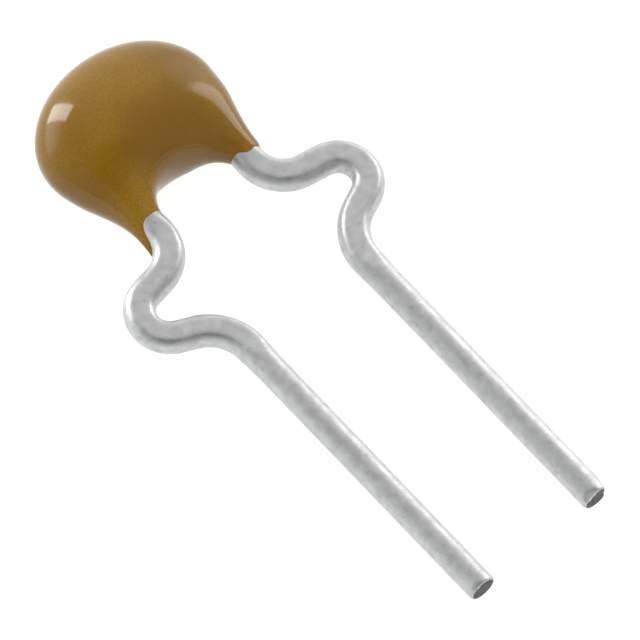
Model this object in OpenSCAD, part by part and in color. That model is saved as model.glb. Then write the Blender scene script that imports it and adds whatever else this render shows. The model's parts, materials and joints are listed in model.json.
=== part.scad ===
// Radial ceramic capacitor: a layered ceramic chip soldered between two kinked wire leads, then dipped in epoxy.
// It is drawn upright in its own plane (x across the leads, y up from the start of the bends, z through the
// thickness) and then laid down on its belly and its two lead tips.

/* [Coating] */
// Width of the dipped body across the leads
coat_w = 3.43; // [3.2:0.01:4.2]
// Height of the dome along the leads
coat_h = 2.72; // [2.4:0.02:3.4]
// Thickness of the body
coat_t = 1.8; // [1.4:0.05:2.6]
// How squarely the belly rounds over into the rim: 2 is an ellipse
coat_fullness = 2.1; // [2:0.1:3]
// Sideways lean of the dipped body from the middle of the leads
coat_lean = -0.1; // [-0.2:0.005:0.2]
// Height of the dome's centre above the start of the bends
dome_rise = 1.82; // [1.7:0.01:2.1]
// How far the arch's core stays clear of each wire. The rounding around it takes up most of this.
arch_clear = 0.31; // [0.25:0.01:0.4]
// Sideways shift of the arch
arch_x = -0.18; // [-0.2:0.01:0]
// Height of the arch's core above the start of the bends
arch_y = 0.17; // [0.1:0.01:0.3]
// Rounding of the arch into the two faces
arch_blend = 0.4; // [0.2:0.05:0.5]

/* [Sleeves] */
// Thickness of the coat around each wire, where it leaves the dome
sleeve_wall = 0.09; // [0.04:0.005:0.12]
// Height above the bends where the sleeves begin to taper
sleeve_top = 1.15; // [1:0.05:1.4]
// Softness of the run from the dome into the sleeves
sleeve_blend = 0.5; // [0.4:0.02:0.8]
// Height of the left sleeve's end, below the start of the bend
left_end_y = -0.4; // [-0.44:0.02:-0.3]
// Lean of the left sleeve's end into the hollow of the bend, which lets its inner side run out on the wire
left_end_lean = 0.03; // [0.02:0.005:0.05]
// How much the left sleeve thins from front to back: it ends as a web in the hollow of the bend
left_thinning = 3.2; // [1.5:0.1:4]
// Thickness of the coat around the right wire at the end of its sleeve
right_end_wall = 0.025; // [0.01:0.005:0.06]
// Height of the right sleeve's rounded end above the start of the bend
right_end_y = 0.24; // [0.1:0.02:0.4]
// Outward drift of the right sleeve
right_drift = 0.04; // [0:0.01:0.08]

/* [Leads] */
// Diameter of the wire
wire_d = 0.51; // [0.4:0.01:0.6]
// Pitch of the legs
leg_pitch = 2.54; // [2.5:0.02:5.08]
// Sideways shift of both necks
neck_shift = -0.015; // [-0.06:0.005:0.06]
// How far the crest of each kink stands out beyond its leg, wire centre to wire centre
kink_reach = 1.085; // [0.9:0.005:1.6]
// Bend radius where the wire turns outward
neck_bend_r = 0.68; // [0.5:0.01:0.72]
// Bend radius of the crest
crest_bend_r = 0.5; // [0.4:0.01:0.55]
// Bend radius where the wire turns down into the leg
leg_bend_r = 0.9; // [0.6:0.01:1]
// Angle of the outward run
run_out = 81.3; // [70:0.1:85]
// Angle of the inward run
run_in = 67; // [55:0.5:72]
// How much wider the wire is where the bending dies have spread it
die_spread = 0.05; // [0.03:0.005:0.1]
// How much thinner the wire is between the flats that the dies press
die_squash = 0.06; // [0.02:0.005:0.12]
// Length over which the flats fade out
flat_fade = 0.5; // [0.3:0.05:0.8]
// Depth of the left leg's tip below the start of the bends
left_leg = 8.42; // [4:0.02:25]
// Depth of the right leg's tip
right_leg = 8.36; // [4:0.02:25]
// Rounding of the cut tips, as a small bevel
tip_bevel = 0.035; // [0.01:0.005:0.1]
// Length of the slanting cut on the right tip
slant_l = 0.26; // [0.1:0.02:0.6]
// Angle of the slanting cut
slant_angle = 17; // [8:1:30]

/* [Chip] */
// Length of the chip between the leads, over its end caps
chip_l = 1.47; // [1.3:0.01:1.7]
// Height of the chip along the leads
chip_h = 1.24; // [0.9:0.02:1.5]
// Thickness of the chip
chip_t = 0.9; // [0.7:0.02:1.1]
// Height of the chip's centre above the start of the bends
chip_y = 1.85; // [1.75:0.01:1.95]
// Thickness of the metal end caps
cap_t = 0.03; // [0.015:0.005:0.05]
// Length of the band that each end cap folds over the chip
cap_band = 0.3; // [0.15:0.02:0.45]
// Number of electrode layers
layers = 10; // [4:2:16]
// Thickness of an electrode layer
layer_t = 0.02; // [0.008:0.002:0.03]
// Ceramic left bare around the electrodes at the sides
side_margin = 0.12; // [0.06:0.01:0.2]
// Ceramic left between an electrode and the far end cap
end_margin = 0.15; // [0.08:0.01:0.25]
// Ceramic cover above the first layer and below the last
cover_margin = 0.12; // [0.06:0.01:0.18]

/* [Solder] */
// Gap between each end cap and its wire, which the solder fills
solder_gap = 0.03; // [0.01:0.005:0.08]
// Length of each solder joint along the wire
solder_l = 0.95; // [0.6:0.05:1.05]
// Height of the wire's end above the start of the bends
wire_top = 2.3; // [2.2:0.02:2.4]
// Radius of the hollow in the solder's fillets
solder_hollow = 0.4; // [0.32:0.02:0.6]
// Thickness of solder over the crown of the wire
solder_skin = 0.02; // [0.01:0.005:0.05]

/* [Hidden] */
layer_names = [for (i = [1:layers]) str("electrode_", i)];
$fn = 64;

// The chip lies between the wires, so its length sets the pitch of the necks
wire_r = wire_d / 2;
neck_pitch = chip_l + wire_d + 2 * solder_gap;
left_neck = neck_pitch / 2 - neck_shift;
right_neck = neck_pitch / 2 + neck_shift;
sleeve_top_r = wire_r + sleeve_wall;
right_end_r = wire_r + right_end_wall;
arch_r = neck_pitch / 2 - wire_r - arch_clear;
arch_top = arch_y + arch_r;
kink_span = leg_pitch + 2 * kink_reach;
formed_r = wire_r + die_spread / 2;
formed_t = wire_d - die_squash;
// The left sleeve follows its wire into the bend and ends level with the wire's hollow side
left_end_r = formed_r - left_end_lean;
left_drift = neck_bend_r - sqrt(pow(neck_bend_r, 2) - pow(left_end_y, 2)) + left_end_lean;
dome_top = dome_rise + coat_h / 2;
belly = coat_t / 2;

// At rest the belly and the tips of the legs touch the ground. The rounded belly reaches a little
// lower once it is tilted, so the first, flat guess at the tilt is mended once.
long_leg = max(left_leg, right_leg);
first_tilt = atan((belly - wire_r) / (dome_rise + long_leg));
belly_power = coat_fullness / (coat_fullness - 1);
belly_reach = pow(pow(coat_h / 2 * sin(first_tilt), belly_power)
                  + pow(belly * cos(first_tilt), belly_power), 1 / belly_power);
rest_tilt = asin((belly_reach - wire_r * cos(first_tilt)) / (dome_rise + long_leg));
rest_lift = (long_leg - tip_bevel) * sin(rest_tilt) + wire_r * cos(rest_tilt);
rest_mid = (dome_top - long_leg) / 2 * cos(rest_tilt);

// Straight runs are a hair slimmer than the bends and lap into them, which keeps each wire one solid
lap = 0.03;
hair = 0.002;

fan_steps = 66;
ring_steps = 52;
halvings = 16;
dome_slope = 1.15;
fan_guess = 125;

block = [chip_l - 2 * cap_t, chip_h - 2 * cap_t, chip_t - 2 * cap_t];
layer_gap = (block.z - 2 * cover_margin - layer_t) / (layers - 1);
layer_l = block.x - end_margin;
layer_h = block.y - 2 * side_margin;

wire_grey = [0.78, 0.79, 0.79];
tin_grey = [0.7, 0.71, 0.72];
epoxy_ochre = [0.56, 0.4, 0.15];
ceramic_brown = [0.45, 0.33, 0.24];

// Lays the upright drawing down in its resting place
module at_rest() {
    translate([0, -rest_mid, rest_lift])
        rotate([rest_tilt, 0, 0])
            children();
}

// ---- Coating: one smooth skin around a dome and two sleeves, hollowed by an arch ----

function mix(a, b, t) = a * (1 - t) + b * t;
function clamp(v) = min(1, max(0, v));

// Smaller of two distances, with a rounded valley of size k where they meet
function soft_min(a, b, k) =
    let (t = clamp(0.5 + 0.5 * (b - a) / k))
    mix(b, a, t) - k * t * (1 - t);
function soft_max(a, b, k) = -soft_min(-a, -b, k);

// Distance outside the dome, negative inside it
function dome_gap(p) =
    let (across = norm([(p.x - coat_lean) / (coat_w / 2), (p.y - dome_rise) / (coat_h / 2)]),
         through = abs(p.z) / belly)
    (pow(pow(across, coat_fullness) + pow(through, coat_fullness), 1 / coat_fullness) - 1)
        * belly * dome_slope;

// Distance outside one sleeve. The sleeve keeps its size at first, then thins and drifts outward
// ever faster on its way down the wire.
function sleeve_gap(p, side, neck, end_y, end_r, drift, thinning) =
    let (t = clamp((sleeve_top - p.y) / (sleeve_top - end_y)))
    norm([p.x - side * (neck + drift * pow(t, 4)), p.y - mix(sleeve_top, end_y, t),
          p.z * (1 + thinning * pow(t, 4))])
        - mix(sleeve_top_r, end_r, pow(t, 3));

function coat_gap(p) =
    let (left = sleeve_gap(p, -1, left_neck, left_end_y, left_end_r, left_drift, left_thinning),
         right = sleeve_gap(p, 1, right_neck, right_end_y, right_end_r, right_drift, 0),
         full = soft_min(soft_min(dome_gap(p), left, sleeve_blend), right, sleeve_blend),
         arch = arch_r - norm([p.x - arch_x, p.y - arch_y]))
    soft_max(full, arch, arch_blend);

// Middle of the coat on the half plane that stands at angle a around the foot of the arch
function core_r(a) =
    let (dome_part = exp(-pow(a / 48, 2)),
         side_r = a < 0 ? left_neck + 0.06 + left_drift * pow(max(0, -a - 60) / 45, 2) : right_neck + 0.06)
    mix(side_r, (arch_top + dome_top) / 2, dome_part);

function fan_point(a, turn, reach) =
    let (r = core_r(a) + reach * cos(turn))
    [r * sin(a), r * cos(a), reach * sin(turn)];

// Halves the span until the skin is found, going out from the middle
function skin_reach(a, turn, low, high, n) =
    n == 0 ? low
    : let (half = (low + high) / 2)
      coat_gap(fan_point(a, turn, half)) < 0 ? skin_reach(a, turn, half, high, n - 1)
                                             : skin_reach(a, turn, low, half, n - 1);
function skin_limit(a, turn) = cos(turn) < 0 ? min(2.2, -core_r(a) / cos(turn) * 0.98) : 2.2;
function skin_point(a, turn) = fan_point(a, turn, skin_reach(a, turn, 0, skin_limit(a, turn), halvings));

// Angle at which the middle line itself comes out of the skin, at the end of a sleeve
function end_angle(inside, outside, n) =
    n == 0 ? inside
    : let (half = (inside + outside) / 2)
      coat_gap(fan_point(half, 0, 0)) < 0 ? end_angle(half, outside, n - 1)
                                          : end_angle(inside, half, n - 1);

// The skin as rings from the left sleeve's end to the right one's, closed by a point at each end
module coat_skin() {
    first = end_angle(-60, -fan_guess, halvings);
    last = end_angle(60, fan_guess, halvings);
    rings = [for (i = [1:fan_steps - 1])
        let (t = i / fan_steps, a = mix(first, last, mix(t, (1 - cos(180 * t)) / 2, 0.6)))
        [for (j = [0:ring_steps - 1]) skin_point(a, 360 * j / ring_steps)]];
    n = ring_steps;
    count = len(rings);
    points = concat([fan_point(first, 0, 0)], [for (ring = rings) each ring], [fan_point(last, 0, 0)]);
    walls = [for (i = [0:count - 2], j = [0:n - 1])
        let (a = 1 + i * n + j, b = 1 + i * n + (j + 1) % n)
        each [[a, b, b + n], [a, b + n, a + n]]];
    first_end = [for (j = [0:n - 1]) [0, 1 + (j + 1) % n, 1 + j]];
    base = 1 + (count - 1) * n;
    last_end = [for (j = [0:n - 1]) [base + n, base + j, base + (j + 1) % n]];
    polyhedron(points, concat(first_end, walls, last_end));
}

module coating() {
    color(epoxy_ochre)
        at_rest()
            difference() {
                coat_skin();
                on_side(-1) lead_solid(left_neck, left_leg);
                on_side(1) lead_solid(right_neck, right_leg);
                chip_at() {
                    cube(block, center = true);
                    for (side = [-1, 1])
                        on_side(side) {
                            cap_outline();
                            solder_outline();
                        }
                }
            }
}

// ---- Leads: round wire with an outward kink, pressed flat by the bending dies ----

module on_side(side) {
    mirror([side < 0 ? 1 : 0, 0, 0]) children();
}

// Turns a profile of [radius, distance] points about a line from p, heading h degrees outward
// from straight down
module turned(p, h, profile) {
    translate([p.x, p.y, 0])
        rotate([90, 0, h])
            rotate_extrude()
                polygon(concat([[0, profile[0].y]], profile, [[0, profile[len(profile) - 1].y]]));
}

module bend(centre, radius, from, to) {
    translate([centre.x, centre.y, 0])
        rotate([0, 0, from])
            rotate_extrude(angle = to - from)
                translate([radius, 0])
                    circle(formed_r);
}

// The slab that a flat die presses into the wire, with a ramp at each end
module die_print(from, to) {
    far = 1.2 * formed_r;
    rise = far - formed_t / 2;
    rotate([90, 0, 90])
        linear_extrude(kink_span, center = true)
            polygon([[from, formed_t / 2], [to, formed_t / 2],
                     [to + flat_fade * rise / (formed_r - formed_t / 2), far],
                     [from - flat_fade * rise / (formed_r - formed_t / 2), far]]);
}

// One whole wire on the right-hand side, from inside the body to its tip
module lead_solid(neck, depth) {
    crest_x = kink_span / 2;
    run_out_l = (crest_x - neck - (neck_bend_r + crest_bend_r) * (1 - cos(run_out))) / sin(run_out);
    run_in_l = (crest_x - leg_pitch / 2 - (crest_bend_r + leg_bend_r) * (1 - cos(run_in))) / sin(run_in);
    neck_centre = [neck + neck_bend_r, 0];
    out_start = neck_centre - neck_bend_r * [cos(run_out), sin(run_out)];
    out_end = out_start + run_out_l * [sin(run_out), -cos(run_out)];
    crest_centre = out_end - crest_bend_r * [cos(run_out), sin(run_out)];
    in_start = crest_centre + crest_bend_r * [cos(run_in), -sin(run_in)];
    in_end = in_start - run_in_l * [sin(run_in), cos(run_in)];
    leg_centre = in_end + leg_bend_r * [cos(run_in), -sin(run_in)];
    leg_top = leg_centre.y;

    slim_r = formed_r - hair;

    difference() {
        union() {
            turned([neck, 0], 0, [[wire_r, -wire_top], [wire_r, -flat_fade], [slim_r, lap]]);
            bend(neck_centre, neck_bend_r, 180, 180 + run_out);
            turned(out_start, run_out, [[slim_r, -lap], [slim_r, run_out_l + lap]]);
            bend(crest_centre, crest_bend_r, -run_in, run_out);
            turned(in_start, -run_in, [[slim_r, -lap], [slim_r, run_in_l + lap]]);
            bend(leg_centre, leg_bend_r, 180 - run_in, 180);
            turned([leg_pitch / 2, 0], 0,
                   [[slim_r, -leg_top - lap], [wire_r, flat_fade - leg_top],
                    [wire_r, depth - tip_bevel], [wire_r - tip_bevel, depth]]);
        }
        die_print(leg_top, 0);
        mirror([0, 0, 1]) die_print(leg_top, 0);
    }
}

module lead_left() {
    color(wire_grey)
        at_rest()
            on_side(-1)
                lead_solid(left_neck, left_leg);
}

// The right tip also lost a slanting sliver where it was sheared off
module lead_right() {
    color(wire_grey)
        at_rest()
            difference() {
                lead_solid(right_neck, right_leg);
                translate([leg_pitch / 2 + wire_r, slant_l - right_leg, 0])
                    rotate([0, 0, -slant_angle])
                        translate([0, -2 * slant_l, -wire_d])
                            cube([wire_d, 2 * slant_l, 2 * wire_d]);
            }
}

// ---- Chip: a ceramic block with alternate electrode layers and metal end caps ----

module chip_at() {
    translate([neck_shift, chip_y, 0]) children();
}

// Outer form of the right-hand end cap, chip at the origin
module cap_outline() {
    translate([chip_l / 2 - cap_band, -chip_h / 2, -chip_t / 2])
        cube([cap_band, chip_h, chip_t]);
}

module end_cap(side) {
    color(tin_grey)
        at_rest()
            chip_at()
                on_side(side)
                    difference() {
                        cap_outline();
                        cube(block, center = true);
                    }
}

// Electrode i runs from one end of the block almost to the other, by turns
module layer_solid(i) {
    on_side(i % 2 == 1 ? -1 : 1)
        translate([block.x / 2 - layer_l, -layer_h / 2,
                   cover_margin - block.z / 2 + (i - 1) * layer_gap])
            cube([layer_l, layer_h, layer_t]);
}

module electrode(i) {
    color(tin_grey)
        at_rest()
            chip_at()
                layer_solid(i);
}

module ceramic_block() {
    color(ceramic_brown)
        at_rest()
            chip_at()
                difference() {
                    cube(block, center = true);
                    for (i = [1:layers]) layer_solid(i);
                }
}

// ---- Solder: a fillet above and below the wire, against the end cap ----

module solder_outline() {
    reach = wire_r + solder_gap;
    crown = wire_r + solder_skin;
    foot = crown + solder_hollow - sqrt(pow(solder_hollow, 2) - pow(reach, 2));
    translate([chip_l / 2, wire_top - chip_y, 0])
        rotate([90, 0, 0])
            linear_extrude(solder_l)
                difference() {
                    translate([0, -foot])
                        square([reach, 2 * foot]);
                    for (up = [-1, 1])
                        translate([reach, up * (crown + solder_hollow)])
                            circle(solder_hollow);
                }
}

module solder(side) {
    color(tin_grey)
        at_rest()
            chip_at()
                on_side(side)
                    difference() {
                        solder_outline();
                        translate([neck_pitch / 2, 0, 0])
                            rotate([90, 0, 0])
                                cylinder(h = 4 * solder_l, r = wire_r, center = true);
                    }
}

coating();
lead_left();
lead_right();
solder(-1);  // solder_left
solder(1);  // solder_right
end_cap(-1);  // end_cap_left
end_cap(1);  // end_cap_right
ceramic_block();
for (i = [1:layers])
    electrode(i);
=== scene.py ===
# %% [markdown]
# # A radial ceramic capacitor
# A layered ceramic chip is soldered between two tinned wires and dipped in epoxy. What shows is the
# dipped body, about 3.5 mm wide, and the two wires, each with a kink that stops the part above a circuit
# board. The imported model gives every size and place. This lesson dresses it: a fine skin for the coat,
# round wires with pressed flats, and materials for all the pieces, also those that the coat hides.

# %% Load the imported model
import json
import math

import bpy
import numpy as np
from mathutils import Matrix, Vector


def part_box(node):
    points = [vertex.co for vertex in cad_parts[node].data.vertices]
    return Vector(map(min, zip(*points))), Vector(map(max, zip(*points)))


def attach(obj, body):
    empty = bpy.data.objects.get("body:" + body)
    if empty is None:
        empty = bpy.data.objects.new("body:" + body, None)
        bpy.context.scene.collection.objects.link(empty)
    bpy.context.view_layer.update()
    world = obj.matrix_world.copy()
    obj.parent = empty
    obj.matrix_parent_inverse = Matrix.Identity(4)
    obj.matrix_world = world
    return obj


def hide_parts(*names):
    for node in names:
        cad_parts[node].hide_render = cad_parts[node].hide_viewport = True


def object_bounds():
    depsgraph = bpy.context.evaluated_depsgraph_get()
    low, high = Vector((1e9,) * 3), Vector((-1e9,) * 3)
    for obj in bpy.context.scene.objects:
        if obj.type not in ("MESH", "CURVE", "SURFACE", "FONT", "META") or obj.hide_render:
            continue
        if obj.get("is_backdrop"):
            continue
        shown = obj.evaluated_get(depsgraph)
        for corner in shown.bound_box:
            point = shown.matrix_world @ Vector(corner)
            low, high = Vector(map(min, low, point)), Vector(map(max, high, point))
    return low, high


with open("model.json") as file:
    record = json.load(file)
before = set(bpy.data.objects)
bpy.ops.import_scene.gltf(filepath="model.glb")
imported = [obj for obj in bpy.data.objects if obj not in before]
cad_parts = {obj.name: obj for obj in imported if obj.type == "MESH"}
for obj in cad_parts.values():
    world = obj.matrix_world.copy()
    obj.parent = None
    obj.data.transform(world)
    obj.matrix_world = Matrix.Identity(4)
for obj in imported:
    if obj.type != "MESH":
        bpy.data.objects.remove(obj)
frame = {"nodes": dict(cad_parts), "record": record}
cad_low, cad_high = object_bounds()
nodes = frame["nodes"]
MM = 0.001
cad_size = [round((h - l) / MM, 3) for l, h in zip(cad_low, cad_high)]
print("packed model:", len(nodes), "nodes, box in mm", cad_size)

# %% [markdown]
# Every operator acts on what is selected, so each step begins with nothing selected. The pieces are drawn
# upright: x across the wires, y up from the start of the bends, z through the thickness. Two pin mounts
# in the record say where the legs are, how thick the wire is and how far the part leans back at rest, so
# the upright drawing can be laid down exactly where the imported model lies. A pin ends where the rounding
# of the tip begins.

# %% Read the legs from the record
pins = {m["name"]: m for m in frame["record"]["mounts"]}
left_pin, right_pin = pins["left_leg"], pins["right_leg"]
wire_r = left_pin["dims"]["r_mm"]
leg_pitch = (right_pin["pos_m"][0] - left_pin["pos_m"][0]) / MM
tilt = math.atan2(-left_pin["axis"][2], -left_pin["axis"][1])
tip_rounding = 0.035
leg_depth = {"left": 8.42, "right": 8.36}
to_middle = leg_depth["left"] - tip_rounding - left_pin["dims"]["length_mm"] / 2
start = Vector(left_pin["pos_m"]) - Vector(left_pin["axis"]) * to_middle * MM
start.x = 0
lay_down = Matrix.Translation(start) @ Matrix.Rotation(tilt, 4, "X")
print(f"wire {2 * wire_r:.3f} mm, pitch {leg_pitch:.3f} mm, tilt {math.degrees(tilt):.2f} degrees")
print("start of bends in mm", [round(v / MM, 3) for v in start])


# %% Helpers for modelling
def fresh():
    """Object mode with nothing selected."""
    if bpy.context.mode != "OBJECT":
        bpy.ops.object.mode_set(mode="OBJECT")
    bpy.ops.object.select_all(action="DESELECT")


def pick(ob, test, kind="VERT"):
    """Selects the vertices or faces of ob that pass the test on their place, and stays in edit mode."""
    bpy.ops.object.mode_set(mode="EDIT")
    bpy.ops.mesh.select_mode(type=kind)
    bpy.ops.mesh.select_all(action="DESELECT")
    bpy.ops.object.mode_set(mode="OBJECT")
    parts = ob.data.vertices if kind == "VERT" else ob.data.polygons
    count = 0
    for part in parts:
        place = part.co if kind == "VERT" else part.center
        part.select = bool(test(place / MM))
        count += part.select
    bpy.ops.object.mode_set(mode="EDIT")
    return count


def lay(ob, name):
    """Puts an upright piece in its resting place, with its place in its mesh."""
    fresh()
    ob.name = ob.data.name = name
    ob.data.transform(lay_down @ ob.matrix_world)
    ob.matrix_world = Matrix.Identity(4)
    ob.data.update()
    low = np.array([v.co for v in ob.data.vertices]).min(0) / MM
    high = np.array([v.co for v in ob.data.vertices]).max(0) / MM
    low, high = low.round(3).tolist(), high.round(3).tolist()
    print(f"{name}: {len(ob.data.polygons)} faces, box {low} to {high} mm")


def compare(name, node):
    """How far the piece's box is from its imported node's box, in mm."""
    co = np.array([v.co for v in bpy.data.objects[name].data.vertices])
    low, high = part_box(node)
    off = max(abs(co.min(0) - np.array(low)).max(), abs(co.max(0) - np.array(high)).max())
    print(f"{name} against {node}: boxes differ by {off / MM:.3f} mm at most")


# %% [markdown]
# A lead is one piece of round wire, bent round three dies. The way to model it is the way it is made: a
# ring of points at the wire's end is extruded down for each straight run and spun round each die's centre
# for each bend. A bevelled curve would be quicker, but the spin keeps the rings square to the wire and
# leaves clean, even quads for the flats that come next.

# %% Sizes of the kink
neck_pitch, neck_shift = 2.04, -0.015
kink_span = 4.71
neck_bend_r, crest_bend_r, leg_bend_r = 0.68, 0.5, 0.9
run_out, run_in = math.radians(81.3), math.radians(67)
formed_r, formed_t = 0.28, 0.45
flat_fade = 0.5
wire_top = 2.3
ring_points = 64
fade_cuts, between_cuts, leg_cuts, tip_cuts = 8, 5, 12, 14
neck_steps, crest_steps, leg_steps = 28, 40, 26
tip_l, rim_roll, roll_steps = 0.6, 0.045, 5
end_rings = (1, 0.8, 0.6, 0.4, 0.2, 0.04)
necks = {"left": neck_pitch / 2 - neck_shift, "right": neck_pitch / 2 + neck_shift}


def along(side, angle):
    """Unit step down the wire, turned outward by the angle."""
    return Vector((side * math.sin(angle), -math.cos(angle), 0))


def run(step, length, widen=1.0, cuts=1):
    """A straight run: the ring is extruded in equal cuts, and may widen on its way."""
    for _ in range(cuts):
        bpy.ops.mesh.extrude_region_move(TRANSFORM_OT_translate={"value": step * (length / cuts * MM)})
        if widen != 1.0:
            bpy.ops.transform.resize(value=(widen ** (1 / cuts),) * 3)


def bend(side, centre, angle, steps):
    """A bend: the ring is spun round the die's centre, outward or, with a negative angle, inward."""
    die = (side * centre[0] * MM, centre[1] * MM, 0)
    bpy.ops.mesh.spin(steps=steps, angle=-side * angle, center=die, axis=(0, 0, 1))


def wire(which):
    """One bent lead, drawn from its top to its tip. Gives the object and the height where its leg starts."""
    side = -1 if which == "left" else 1
    neck, depth = necks[which], leg_depth[which]
    crest_x = kink_span / 2
    bent_out = (neck_bend_r + crest_bend_r) * (1 - math.cos(run_out))
    bent_in = (crest_bend_r + leg_bend_r) * (1 - math.cos(run_in))
    out_l = (crest_x - neck - bent_out) / math.sin(run_out)
    in_l = (crest_x - leg_pitch / 2 - bent_in) / math.sin(run_in)
    fresh()
    bpy.ops.mesh.primitive_circle_add(vertices=ring_points, radius=wire_r * MM, fill_type="NGON",
                                      location=(0, 0, 0), rotation=(0, 0, 0))
    ob = bpy.context.object
    bpy.ops.object.mode_set(mode="EDIT")
    bpy.ops.mesh.select_all(action="SELECT")
    bpy.ops.transform.rotate(value=math.pi / 2, orient_axis="X", center_override=(0, 0, 0))
    bpy.ops.transform.translate(value=(side * neck * MM, wire_top * MM, 0))
    down = along(side, 0)
    run(down, wire_top - flat_fade)
    run(down, flat_fade, widen=formed_r / wire_r, cuts=fade_cuts)
    here = Vector((neck, 0, 0))
    centre = here + Vector((neck_bend_r, 0, 0))
    bend(side, centre, run_out, neck_steps)
    here = centre - neck_bend_r * Vector((math.cos(run_out), math.sin(run_out), 0))
    run(along(side, run_out), out_l, cuts=between_cuts)
    here = here + out_l * along(1, run_out)
    centre = here - crest_bend_r * Vector((math.cos(run_out), math.sin(run_out), 0))
    bend(side, centre, -(run_out + run_in), crest_steps)
    here = centre + crest_bend_r * Vector((math.cos(run_in), -math.sin(run_in), 0))
    run(along(side, -run_in), in_l, cuts=between_cuts)
    here = here + in_l * along(1, -run_in)
    centre = here + leg_bend_r * Vector((math.cos(run_in), -math.sin(run_in), 0))
    bend(side, centre, run_in, leg_steps)
    leg_top = centre.y
    run(down, flat_fade, widen=wire_r / formed_r, cuts=fade_cuts)
    run(down, depth + leg_top - flat_fade - tip_l, cuts=leg_cuts)
    run(down, tip_l - rim_roll, cuts=tip_cuts)
    turns = [math.pi / 2 * i / roll_steps for i in range(roll_steps + 1)]
    for a, b in zip(turns, turns[1:]):
        widths = [wire_r - rim_roll * (1 - math.cos(t)) for t in (a, b)]
        run(down, rim_roll * (math.sin(b) - math.sin(a)), widen=widths[1] / widths[0])
    for a, b in zip(end_rings, end_rings[1:]):
        run(down, 0, widen=b / a)
    return ob, leg_top


# %% [markdown]
# The bending dies are two flat blocks, so they press a flat on the front and on the back of every kink,
# and each flat fades out over half a millimetre. On the model, the points that stand above the die's face
# are picked and scaled flat onto it. The fading ends are done in bands, each pressed a little less. Real
# tin flows under the die and leaves no crisp border, so the whole kink is then smoothed in rounds, each
# reaching a little further out than the last, which rounds the borders and lets the flats melt into the
# round wire.

# %% Press the flats
fade_bands = 8
soft_rounds, soft_reach = 5, 0.08
smooth_step = 0.5


def press(ob, low, high, face):
    """Flattens what stands above the die's face, front and back, between two heights."""
    for up in (1, -1):
        if pick(ob, lambda p: low <= p.y < high and up * p.z > face):
            bpy.ops.transform.resize(value=(1, 1, 0), center_override=(0, 0, up * face * MM))


def press_flats(ob, leg_top):
    """Presses the whole kink, then its fading ends in bands, and rounds the borders."""
    press(ob, leg_top, 0, formed_t / 2)
    rise = formed_r - formed_t / 2
    for i in range(fade_bands):
        low, high = i / fade_bands, (i + 1) / fade_bands
        face = formed_t / 2 + rise * (low + high) / 2
        press(ob, low * flat_fade, high * flat_fade, face)
        press(ob, leg_top - high * flat_fade, leg_top - low * flat_fade, face)
    for i in range(soft_rounds):
        reach = flat_fade + i * soft_reach
        count = pick(ob, lambda p: leg_top - reach < p.y < reach)
        bpy.ops.mesh.vertices_smooth(factor=smooth_step, repeat=2)
    print("points smoothed in the last round:", count)


# %% [markdown]
# The wires are sheared off from the front. The blade first pushes the tin over, which leaves a smooth
# slanting facet, and then tears through, which leaves a flat, darker end. The right one also lost a
# slanting sliver. Cutting with planes and bevelling would be the usual way, but the bevel is clamped
# where the cuts meet. So the end is closed with rings that roll over the rim, the points beyond each cut
# are brought back onto it, and a little smoothing takes the edge off.

# %% Finish the tips
slant_l, slant_angle = 0.26, math.radians(17)
facet_l = {"left": 0.05, "right": 0.11}
facet_lean = Vector((-0.42, -0.62, 0.66)).normalized()
slant_lean = Vector((math.cos(slant_angle), -math.sin(slant_angle), 0))
tip_rounds, smooth_share = 4, 0.8
torn_across, torn_slant = 0.95, 0.97
crease_angle = math.radians(40)


def trim(ob, at, lean):
    """Brings every point that stands beyond a plane back onto it, and returns how many there were."""
    count = 0
    for v in ob.data.vertices:
        beyond = (v.co - at * MM).dot(lean)
        if beyond > 0:
            v.co -= lean * beyond
            count += 1
    return count


def finish_tip(ob, which):
    """Trims a tip onto its cuts, gives the torn faces the second material and smooths the edges."""
    side = -1 if which == "left" else 1
    depth = leg_depth[which]
    foot = Vector((side * leg_pitch / 2, -depth, 0))
    bpy.ops.object.mode_set(mode="OBJECT")
    moved = 0
    if which == "right":
        moved += trim(ob, foot + Vector((wire_r, slant_l, 0)), slant_lean)
    across = Vector((facet_lean.x, 0, facet_lean.z)).normalized()
    moved += trim(ob, foot + across * wire_r + Vector((0, facet_l[which], 0)), facet_lean)
    pick(ob, lambda p: True)
    bpy.ops.mesh.normals_make_consistent(inside=False)
    bpy.ops.object.mode_set(mode="OBJECT")
    cut = [f for f in ob.data.polygons if f.center.y / MM < tip_l - depth
           and (f.normal.y < -torn_across or (which == "right" and f.normal.dot(slant_lean) > torn_slant))]
    for face in cut:
        face.material_index = 1
    pick(ob, lambda p: p.y < tip_l * smooth_share - depth)
    bpy.ops.mesh.vertices_smooth(factor=smooth_step, repeat=tip_rounds)
    bpy.ops.object.mode_set(mode="OBJECT")
    low = min(v.co.y for v in ob.data.vertices) / MM
    print(f"{which} tip: {moved} trimmed, {len(cut)} torn faces, {low + depth:.3f} mm short of the node")


# %% Make both leads
for which in ("left", "right"):
    ob, leg_top = wire(which)
    press_flats(ob, leg_top)
    finish_tip(ob, which)
    lay(ob, "wire_" + which)
    ob.select_set(True)
    bpy.context.view_layer.objects.active = ob
    bpy.ops.object.shade_smooth_by_angle(angle=crease_angle)
    compare("wire_" + which, "lead_" + which)
    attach(ob, "root")
    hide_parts("lead_" + which)


# %% [markdown]
# The coat is a drop of liquid epoxy that set: a dome, two sleeves that run out along the wires, and an
# arch between them, all flowing into each other. There are no edges to extrude, so the way in is to
# describe the liquid as distances that blend softly, and to push the points of a sphere out to that skin.
# The sphere's rings become slices of an arched sausage that goes from the end of one sleeve, over the
# dome, to the end of the other.

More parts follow.
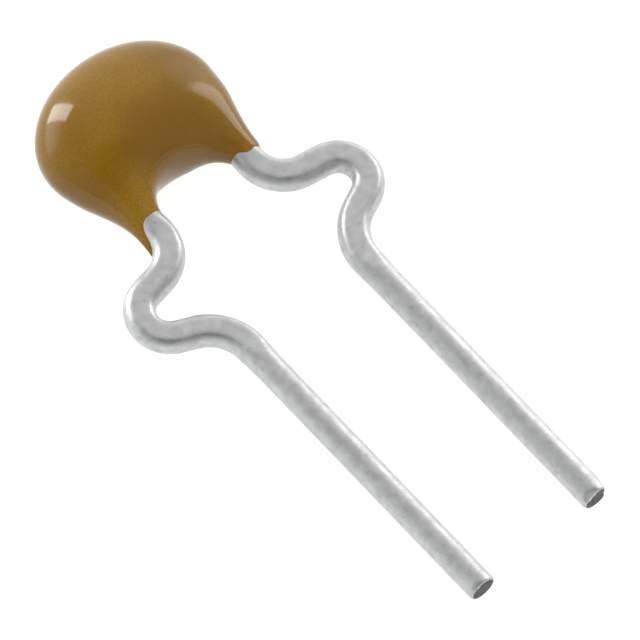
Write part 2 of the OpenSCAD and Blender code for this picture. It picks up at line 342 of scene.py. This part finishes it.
# %% Distance to the coat's skin
coat_w, coat_h, coat_t = 3.43, 2.72, 1.8
coat_fullness, coat_lean, dome_rise, dome_slope = 2.1, -0.1, 1.82, 1.15
arch_r, arch_x, arch_y, arch_blend = 0.455, -0.18, 0.17, 0.4
sleeve_top_r, sleeve_top, sleeve_blend = 0.345, 1.15, 0.5
# Each sleeve: the radius and height of its end, how far it drifts outward, and how much thinner it gets
sleeves = {"left": (0.25, -0.4, 0.16, 3.2), "right": (0.28, 0.24, 0.04, 0)}


def mix(a, b, t):
    return a * (1 - t) + b * t


def soft_min(a, b, k):
    t = np.clip(0.5 + 0.5 * (b - a) / k, 0, 1)
    return mix(b, a, t) - k * t * (1 - t)


def skin_gap(p):
    """Distance from points to the skin, negative inside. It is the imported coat's own rule."""
    x, y, z = p[..., 0], p[..., 1], p[..., 2]
    across = np.hypot((x - coat_lean) / (coat_w / 2), (y - dome_rise) / (coat_h / 2))
    through = np.abs(z) / (coat_t / 2)
    dome = (across**coat_fullness + through**coat_fullness) ** (1 / coat_fullness)
    gap = (dome - 1) * coat_t / 2 * dome_slope
    for which, (end_r, end_y, drift, thinning) in sleeves.items():
        side = -1 if which == "left" else 1
        t = np.clip((sleeve_top - y) / (sleeve_top - end_y), 0, 1)
        middle = side * (necks[which] + drift * t**4)
        aside, above, deep = x - middle, y - mix(sleeve_top, end_y, t), z * (1 + thinning * t**4)
        sleeve = np.sqrt(aside**2 + above**2 + deep**2) - mix(sleeve_top_r, end_r, t**3)
        gap = soft_min(gap, sleeve, sleeve_blend)
    arch = arch_r - np.hypot(x - arch_x, y - arch_y)
    return -soft_min(-gap, -arch, arch_blend)


# %% [markdown]
# Each ring stands on a half plane that fans round the foot of the arch, about a middle that lies inside
# the coat. Halving the span again and again finds the skin on every spoke of every ring.

# %% Push a sphere out to the skin
rings, spokes = 180, 112
halvings = 22
furthest, short_of_middle, nearly_none = 2.2, 0.98, 1e-6
even_share = 0.6
dome_spread, drift_from, drift_over, into_sleeve = 48, 60, 45, 0.06


def core_r(a):
    """Radius from the foot of the arch to the coat's middle, at an angle in degrees."""
    dome_part = np.exp(-((a / dome_spread) ** 2))
    drift = sleeves["left"][2] * (np.clip(-a - drift_from, 0, None) / drift_over) ** 2
    side_r = np.where(a < 0, necks["left"] + into_sleeve + drift, necks["right"] + into_sleeve)
    return mix(side_r, (arch_y + arch_r + dome_rise + coat_h / 2) / 2, dome_part)


def fan_point(a, turn, reach):
    """The point on ring a, on the spoke at this turn, that far from the ring's middle."""
    r = core_r(a) + reach * np.cos(turn)
    s, c = np.sin(np.radians(a)), np.cos(np.radians(a))
    return np.stack([r * s, r * c, reach * np.sin(turn)], axis=-1)


def end_angle(inside, outside):
    """The angle at which the sleeve's middle line leaves the coat."""
    for _ in range(halvings):
        half = (inside + outside) / 2
        if skin_gap(fan_point(np.float64(half), 0.0, 0.0)) < 0:
            inside = half
        else:
            outside = half
    return inside


first, last = end_angle(-60, -125), end_angle(60, 125)
fresh()
bpy.ops.mesh.primitive_uv_sphere_add(segments=spokes, ring_count=rings, radius=coat_w / 2 * MM)
coat = bpy.context.object
sphere = np.array([v.co for v in coat.data.vertices]) / (coat_w / 2 * MM)
t = np.degrees(np.arccos(np.clip(sphere[:, 2], -1, 1))) / 180
turn = np.arctan2(sphere[:, 1], sphere[:, 0])
a = mix(first, last, mix(t, (1 - np.cos(np.pi * t)) / 2, even_share))
low = np.zeros(len(a))
to_foot = -core_r(a) / np.minimum(np.cos(turn), -nearly_none) * short_of_middle
high = np.where(np.cos(turn) < -nearly_none, np.minimum(furthest, to_foot), furthest)
for _ in range(halvings):
    half = (low + high) / 2
    inside = skin_gap(fan_point(a, turn, half)) < 0
    low, high = np.where(inside, half, low), np.where(inside, high, half)
low[(t < 1e-5) | (t > 1 - 1e-5)] = 0
coat.data.vertices.foreach_set("co", (fan_point(a, turn, low) * MM).astype(np.float32).ravel())
pick(coat, lambda p: True)
bpy.ops.mesh.normals_make_consistent(inside=False)
lay(coat, "epoxy_coat")
coat.select_set(True)
bpy.ops.object.shade_smooth()
compare("epoxy_coat", "coating")
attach(coat, "root")
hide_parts("coating")


# %% [markdown]
# Nothing small is one flat colour. Each finish below is mixed from noise read in object space, at the
# scale of the real thing: a coat mottles over millimetres, tin is grained over hundredths. The frame is
# in metres, so a noise scale of 1000 gives about one blotch to the millimetre. Bump distances are in
# metres too, so they look tiny. Numbers that are the same all over, such as the sheen, are set on the
# shader itself.

# %% Helpers for materials
def new_material(name, **sockets):
    """A material with these values on its main shader, where _ in a name stands for a space."""
    m = bpy.data.materials.new(name)
    m.use_nodes = True
    bsdf = m.node_tree.nodes["Principled BSDF"]
    for key, value in sockets.items():
        bsdf.inputs[key.replace("_", " ")].default_value = value
    return m, m.node_tree, bsdf


def add(nt, kind, **values):
    """A new node, with values for its sockets or its settings."""
    node = nt.nodes.new(kind)
    for key, value in values.items():
        if key in node.inputs:
            node.inputs[key].default_value = value
        else:
            setattr(node, key, value)
    return node


def noise(nt, scale, detail=2.0, stretch=(1, 1, 1), shift=0.0):
    """Noise in object space, from 0 to 1. A stretch below 1 draws it out along that axis."""
    coords = add(nt, "ShaderNodeTexCoord")
    mapping = add(nt, "ShaderNodeMapping", Scale=stretch, Location=(shift, shift, shift))
    cloud = add(nt, "ShaderNodeTexNoise", Scale=scale, Detail=detail)
    nt.links.new(coords.outputs["Object"], mapping.inputs["Vector"])
    nt.links.new(mapping.outputs["Vector"], cloud.inputs["Vector"])
    return cloud.outputs["Fac"]


def spread(nt, value, low, high, to_low, to_high):
    """Maps low..high of a value smoothly to to_low..to_high."""
    node = add(nt, "ShaderNodeMapRange", interpolation_type="SMOOTHSTEP")
    for key, number in zip(("From Min", "From Max", "To Min", "To Max"), (low, high, to_low, to_high)):
        node.inputs[key].default_value = number
    nt.links.new(value, node.inputs["Value"])
    return node.outputs["Result"]


def near(nt, place, close, far, most=1):
    """The most within a distance of an upright place in mm, fading to 0 further out."""
    coords = add(nt, "ShaderNodeTexCoord")
    gap = add(nt, "ShaderNodeVectorMath", operation="DISTANCE")
    gap.inputs[1].default_value = lay_down @ (Vector(place) * MM)
    nt.links.new(coords.outputs["Object"], gap.inputs[0])
    return spread(nt, gap.outputs["Value"], close * MM, far * MM, most, 0)


def blend_colours(nt, amount, first, second):
    """Mixes two colours, each a constant or another mix."""
    node = add(nt, "ShaderNodeMix", data_type="RGBA")
    nt.links.new(amount, node.inputs[0])
    for colour, socket in ((first, node.inputs[6]), (second, node.inputs[7])):
        if isinstance(colour, tuple):
            socket.default_value = (*colour, 1)
        else:
            nt.links.new(colour, socket)
    return node.outputs[2]


def emboss(nt, bsdf, *layers):
    """Stacks bumps of (height, depth in mm) on the shader."""
    normal = None
    for height, depth in layers:
        node = add(nt, "ShaderNodeBump", Distance=depth * MM)
        nt.links.new(height, node.inputs["Height"])
        if normal:
            nt.links.new(normal, node.inputs["Normal"])
        normal = node.outputs["Normal"]
    nt.links.new(normal, bsdf.inputs["Normal"])


# %% [markdown]
# The coat is filled epoxy: glossy, mustard in mass and amber where it is thin. About the arch between the
# wires the amber is darker, partly the thin coat and partly painted shade of the hollow, and the root of the
# left sleeve is painted paler as painted light. It sets with a faint orange-peel skin. The filler shows as
# soft mottling and as a fine speckle. A little sheen stands for the pale bloom that such a resin has where
# it turns away from the eye.

# %% Epoxy
epoxy, nt, bsdf = new_material("ochre_epoxy", IOR=1.45, Sheen_Weight=0.46, Sheen_Roughness=0.3,
                               Sheen_Tint=(1, 1, 0.93, 1))
mustard, ochre, amber = (0.3, 0.162, 0.004), (0.238, 0.119, 0.002), (0.2, 0.089, 0.001)
# The honey tone is painted light: a paler colour on the lit root of the left sleeve
painted_light_honey, filler = (0.39, 0.218, 0.011), (0.155, 0.077, 0.002)
colour = blend_colours(nt, spread(nt, noise(nt, 650, 3), 0.32, 0.68, 0, 1), ochre, mustard)
colour = blend_colours(nt, spread(nt, noise(nt, 330, 2, shift=0.05), 0.42, 0.66, 0, 0.85), colour, amber)
# The darker amber about the arch is partly painted shade of the arch's hollow
for place, close, far, most, tone in (
    ((0.1, 0.5, 0.6), 0.5, 1.7, 1, amber),  # darker about the arch: thin coat and painted shade
    ((-1.1, 0.45, 0.35), 0.1, 1.0, 0.6, painted_light_honey),  # painted light at the left sleeve's root
    ((-1.6, 1.25, 0.25), 0.2, 1.1, 0.7, amber),  # darker amber at the lower left edge
):
    colour = blend_colours(nt, near(nt, place, close, far, most), colour, tone)
colour = blend_colours(nt, spread(nt, noise(nt, 32000, 3), 0.34, 0.66, 0, 0.5), colour, filler)
nt.links.new(colour, bsdf.inputs["Base Color"])
nt.links.new(spread(nt, noise(nt, 1400, 2), 0.3, 0.7, 0.09, 0.16), bsdf.inputs["Roughness"])
emboss(nt, bsdf, (noise(nt, 900, 2), 0.006), (noise(nt, 4200, 2), 0.0008))
coat.data.materials.append(epoxy)
print("coat finish:", epoxy.name)

# %% [markdown]
# The wires are tinned, so they are satin and not mirror bright. The dip leaves a grain of a few
# hundredths, the drawing die leaves faint marks along the wire, and handling leaves small pits. The
# sheared ends show the bare core, darker and torn.

# %% Tin and the sheared ends
tin, nt, bsdf = new_material("satin_tin", Metallic=1)
dull_tin, clean_tin, pitted_tin = (0.56, 0.565, 0.565), (0.64, 0.645, 0.65), (0.36, 0.36, 0.355)
grain = noise(nt, 24000, 3)
marks = noise(nt, 9000, 2, stretch=(1, 0.06, 1))
pits = noise(nt, 8000, 1, shift=0.02)
colour = blend_colours(nt, spread(nt, noise(nt, 6500, 4), 0.32, 0.68, 0, 1), dull_tin, clean_tin)
colour = blend_colours(nt, spread(nt, pits, 0.62, 0.76, 0, 0.35), colour, pitted_tin)
nt.links.new(colour, bsdf.inputs["Base Color"])
nt.links.new(spread(nt, noise(nt, 5200, 3), 0.3, 0.7, 0.38, 0.56), bsdf.inputs["Roughness"])
emboss(nt, bsdf, (marks, 0.0014), (pits, 0.0012), (grain, 0.0016))
sheared, nt, bsdf = new_material("sheared_end", Metallic=1)
torn = noise(nt, 14000, 4, stretch=(1, 1, 0.4))
dark_core, bright_core = (0.06, 0.06, 0.059), (0.18, 0.178, 0.173)
nt.links.new(blend_colours(nt, torn, dark_core, bright_core), bsdf.inputs["Base Color"])
nt.links.new(spread(nt, torn, 0.3, 0.7, 0.5, 0.7), bsdf.inputs["Roughness"])
emboss(nt, bsdf, (torn, 0.008))
for which in ("left", "right"):
    bpy.data.objects["wire_" + which].data.materials.append(tin)
    bpy.data.objects["wire_" + which].data.materials.append(sheared)
print("wire finishes:", tin.name, sheared.name)

# %% [markdown]
# What the coat hides is finished as well, since the pieces can be looked at one by one: cast solder,
# sintered end metal, a fired ceramic block with a fine open grain, and the thin printed electrodes.

# %% Inner pieces
blotch_share = 6
electrodes = tuple(f"electrode_{i}" for i in range(1, 11))
# Each finish: its pieces, dark and light tone, roughness from and to, metallic, noise scale, bump depth in mm
inner_finishes = {
    "solder": (("solder_left", "solder_right"),
               (0.5, 0.5, 0.49), (0.68, 0.68, 0.66), (0.3, 0.5), 1, 4000, 0.003),
    "sintered_metal": (("end_cap_left", "end_cap_right"),
                       (0.56, 0.54, 0.5), (0.72, 0.7, 0.66), (0.4, 0.6), 1, 9000, 0.002),
    "fired_ceramic": (("ceramic_block",),
                      (0.4, 0.3, 0.2), (0.5, 0.39, 0.27), (0.45, 0.65), 0, 12000, 0.0015),
    "printed_electrode": (electrodes,
                          (0.42, 0.41, 0.4), (0.55, 0.54, 0.52), (0.35, 0.55), 1, 15000, 0.001),
}
for name, (pieces, dark, light, gloss, metallic, scale, depth) in inner_finishes.items():
    finish, nt, bsdf = new_material(name, Metallic=metallic)
    grain = noise(nt, scale, 3)
    tone = blend_colours(nt, noise(nt, scale / blotch_share, 2), dark, light)
    nt.links.new(tone, bsdf.inputs["Base Color"])
    nt.links.new(spread(nt, grain, 0.3, 0.7, *gloss), bsdf.inputs["Roughness"])
    emboss(nt, bsdf, (grain, depth))
    for piece in pieces:
        for slot in nodes[piece].material_slots:
            slot.material = finish
    print(name, "on", len(pieces), "pieces")

# %% [markdown]
# The part lies on white paper. A floor that is lit to pure white would throw too much light back up, so
# what the eye sees and what the lamps light are kept apart: seen directly or mirrored in the tin and the
# epoxy, the paper glows near white and keeps a faint shadow, while the light it throws back is that of a
# matt grey sheet.

# %% Floor
fresh()
bpy.ops.mesh.primitive_plane_add(size=1.2, location=(0, 0, 0))
floor = bpy.context.object
floor.name = "floor"
floor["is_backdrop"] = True
paper = bpy.data.materials.new("white_paper")
paper.use_nodes = True
nt = paper.node_tree
nt.nodes.clear()
out = add(nt, "ShaderNodeOutputMaterial")
path = add(nt, "ShaderNodeLightPath")
matt = add(nt, "ShaderNodeBsdfDiffuse", Color=(0.7, 0.7, 0.7, 1))
faint = add(nt, "ShaderNodeBsdfDiffuse", Color=(0.2, 0.2, 0.2, 1))
glow = add(nt, "ShaderNodeEmission", Color=(1, 1, 1, 1), Strength=0.9)
white = add(nt, "ShaderNodeAddShader")
nt.links.new(faint.outputs[0], white.inputs[0])
nt.links.new(glow.outputs[0], white.inputs[1])
seen = path.outputs["Is Camera Ray"]
for ray in ("Is Glossy Ray", "Is Transmission Ray"):
    either = add(nt, "ShaderNodeMath", operation="ADD", use_clamp=True)
    nt.links.new(seen, either.inputs[0])
    nt.links.new(path.outputs[ray], either.inputs[1])
    seen = either.outputs[0]
choose = add(nt, "ShaderNodeMixShader")
nt.links.new(seen, choose.inputs[0])
nt.links.new(matt.outputs[0], choose.inputs[1])
nt.links.new(white.outputs[0], choose.inputs[2])
nt.links.new(choose.outputs[0], out.inputs[0])
floor.data.materials.append(paper)
print("floor finish:", paper.name)

# %% [markdown]
# Tin and epoxy show what stands around them, so the world is a light tent painted in soft patches:
# brighter beyond the part, dim behind the lens as a real camera blocks the light there, and three soft
# glows where the tent's cloth catches the lamps. Each patch is a smooth falloff about one direction.

# %% World
def towards(az, el):
    """The direction at these angles in degrees, from the x axis and from the floor."""
    az, el = math.radians(az), math.radians(el)
    return Vector((math.cos(az) * math.cos(el), math.sin(az) * math.cos(el), math.sin(el)))


camera_az, camera_el = -41.2, 60.1
lens_way = towards(camera_az - 90, camera_el)
# Each patch: its middle, the angles where it begins and is full, and its strength outside and inside
patches = {
    "base": (towards(60, 4), 84.26, 0, 0.48, 1.1),
    "lens": (lens_way, 30, 10, 1.0, 0.3),
    "right glow": (towards(10, 20), 26, 6, 0.0, 0.75),
    "back glow": (towards(118, 8), 30, 8, 0.0, 1.5),
    "rim glow": (towards(140, -5), 60, 20, 0.0, 0.35),
}
world = bpy.data.worlds.new("tent")
bpy.context.scene.world = world
world.use_nodes = True
nt = world.node_tree
coords = add(nt, "ShaderNodeTexCoord")
strength = None
for name, (middle, begins, full, outside, inside) in patches.items():
    facing = add(nt, "ShaderNodeVectorMath", operation="DOT_PRODUCT")
    facing.inputs[1].default_value = middle
    nt.links.new(coords.outputs["Generated"], facing.inputs[0])
    edge, centre = math.cos(math.radians(begins)), math.cos(math.radians(full))
    patch = spread(nt, facing.outputs["Value"], edge, centre, outside, inside)
    if strength is None:
        strength = patch
        continue
    joined = add(nt, "ShaderNodeMath", operation="ADD" if "glow" in name else "MULTIPLY")
    nt.links.new(strength, joined.inputs[0])
    nt.links.new(patch, joined.inputs[1])
    strength = joined.outputs[0]
backdrop = nt.nodes["Background"]
backdrop.inputs["Color"].default_value = (1, 1, 1, 1)
nt.links.new(strength, backdrop.inputs["Strength"])
print("tent patches:", list(patches))

# %% [markdown]
# Two softboxes make the crisp highlights, one behind the part and one on its right. A flat panel gives
# the sharp edge of a window, and an ellipse gives the softer one. Two more only fill in: they light the
# coat from the left and the front but stay out of the reflections, so the tin keeps its dark and bright
# bands.

# %% Lamps
lamp_aim = Vector((0, 3, 1)) * MM  # in the open arch, between the two sleeves


def softbox(name, az, el, wide, tall, far, radiance, shape="RECTANGLE"):
    """A softbox: angles in degrees as the part sees it, distance in mm."""
    lamp = bpy.data.lights.new(name, "AREA")
    lamp.shape = shape
    lamp.size = 2 * far * MM * math.tan(math.radians(wide / 2))
    lamp.size_y = 2 * far * MM * math.tan(math.radians(tall / 2))
    lamp.energy = radiance * math.pi * lamp.size * lamp.size_y * (math.pi / 4 if shape == "ELLIPSE" else 1)
    ob = bpy.data.objects.new(name, lamp)
    bpy.context.scene.collection.objects.link(ob)
    to = towards(az, el)
    ob.location = lamp_aim + to * far * MM
    ob.rotation_mode = "QUATERNION"
    ob.rotation_quaternion = to.to_track_quat("Z", "Y")
    return ob


softbox("back_softbox", 102, 18, 13, 38, 100, 7.6)
softbox("left_fill", 186, 14, 44, 44, 110, 0.6).visible_glossy = False
softbox("front_fill", 265, 48, 50, 50, 110, 1.6).visible_glossy = False
softbox("right_softbox", -4, 18, 24, 38, 100, 3.0, "ELLIPSE").data.color = (1, 0.94, 0.9)

print("lamps:", [lamp.name for lamp in bpy.data.lights])

# %% [markdown]
# The camera looks down at 60 degrees through a very long lens, so the legs stay parallel.

# %% Camera
look_at = Vector((-0.057, -0.320, 0.601)) * MM
view_width = 10.58
camera_far = 480
sensor_width = 36
cam = bpy.data.cameras.new("camera")
cam.sensor_width = sensor_width
cam.lens = sensor_width * camera_far / view_width
camera = bpy.data.objects.new("camera", cam)
bpy.context.scene.collection.objects.link(camera)
camera.location = look_at + lens_way * camera_far * MM
camera.rotation_mode = "QUATERNION"
camera.rotation_quaternion = lens_way.to_track_quat("Z", "Y")
cam.clip_start, cam.clip_end = 0.1, 3
bpy.context.scene.camera = camera
bpy.context.scene.view_settings.view_transform = "Standard"
print(f"camera {camera_far} mm away, seeing {view_width} mm across")

# %% Measure and finish
low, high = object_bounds()
print("dressed box in mm", [round((h - l) / MM, 3) for l, h in zip(low, high)])
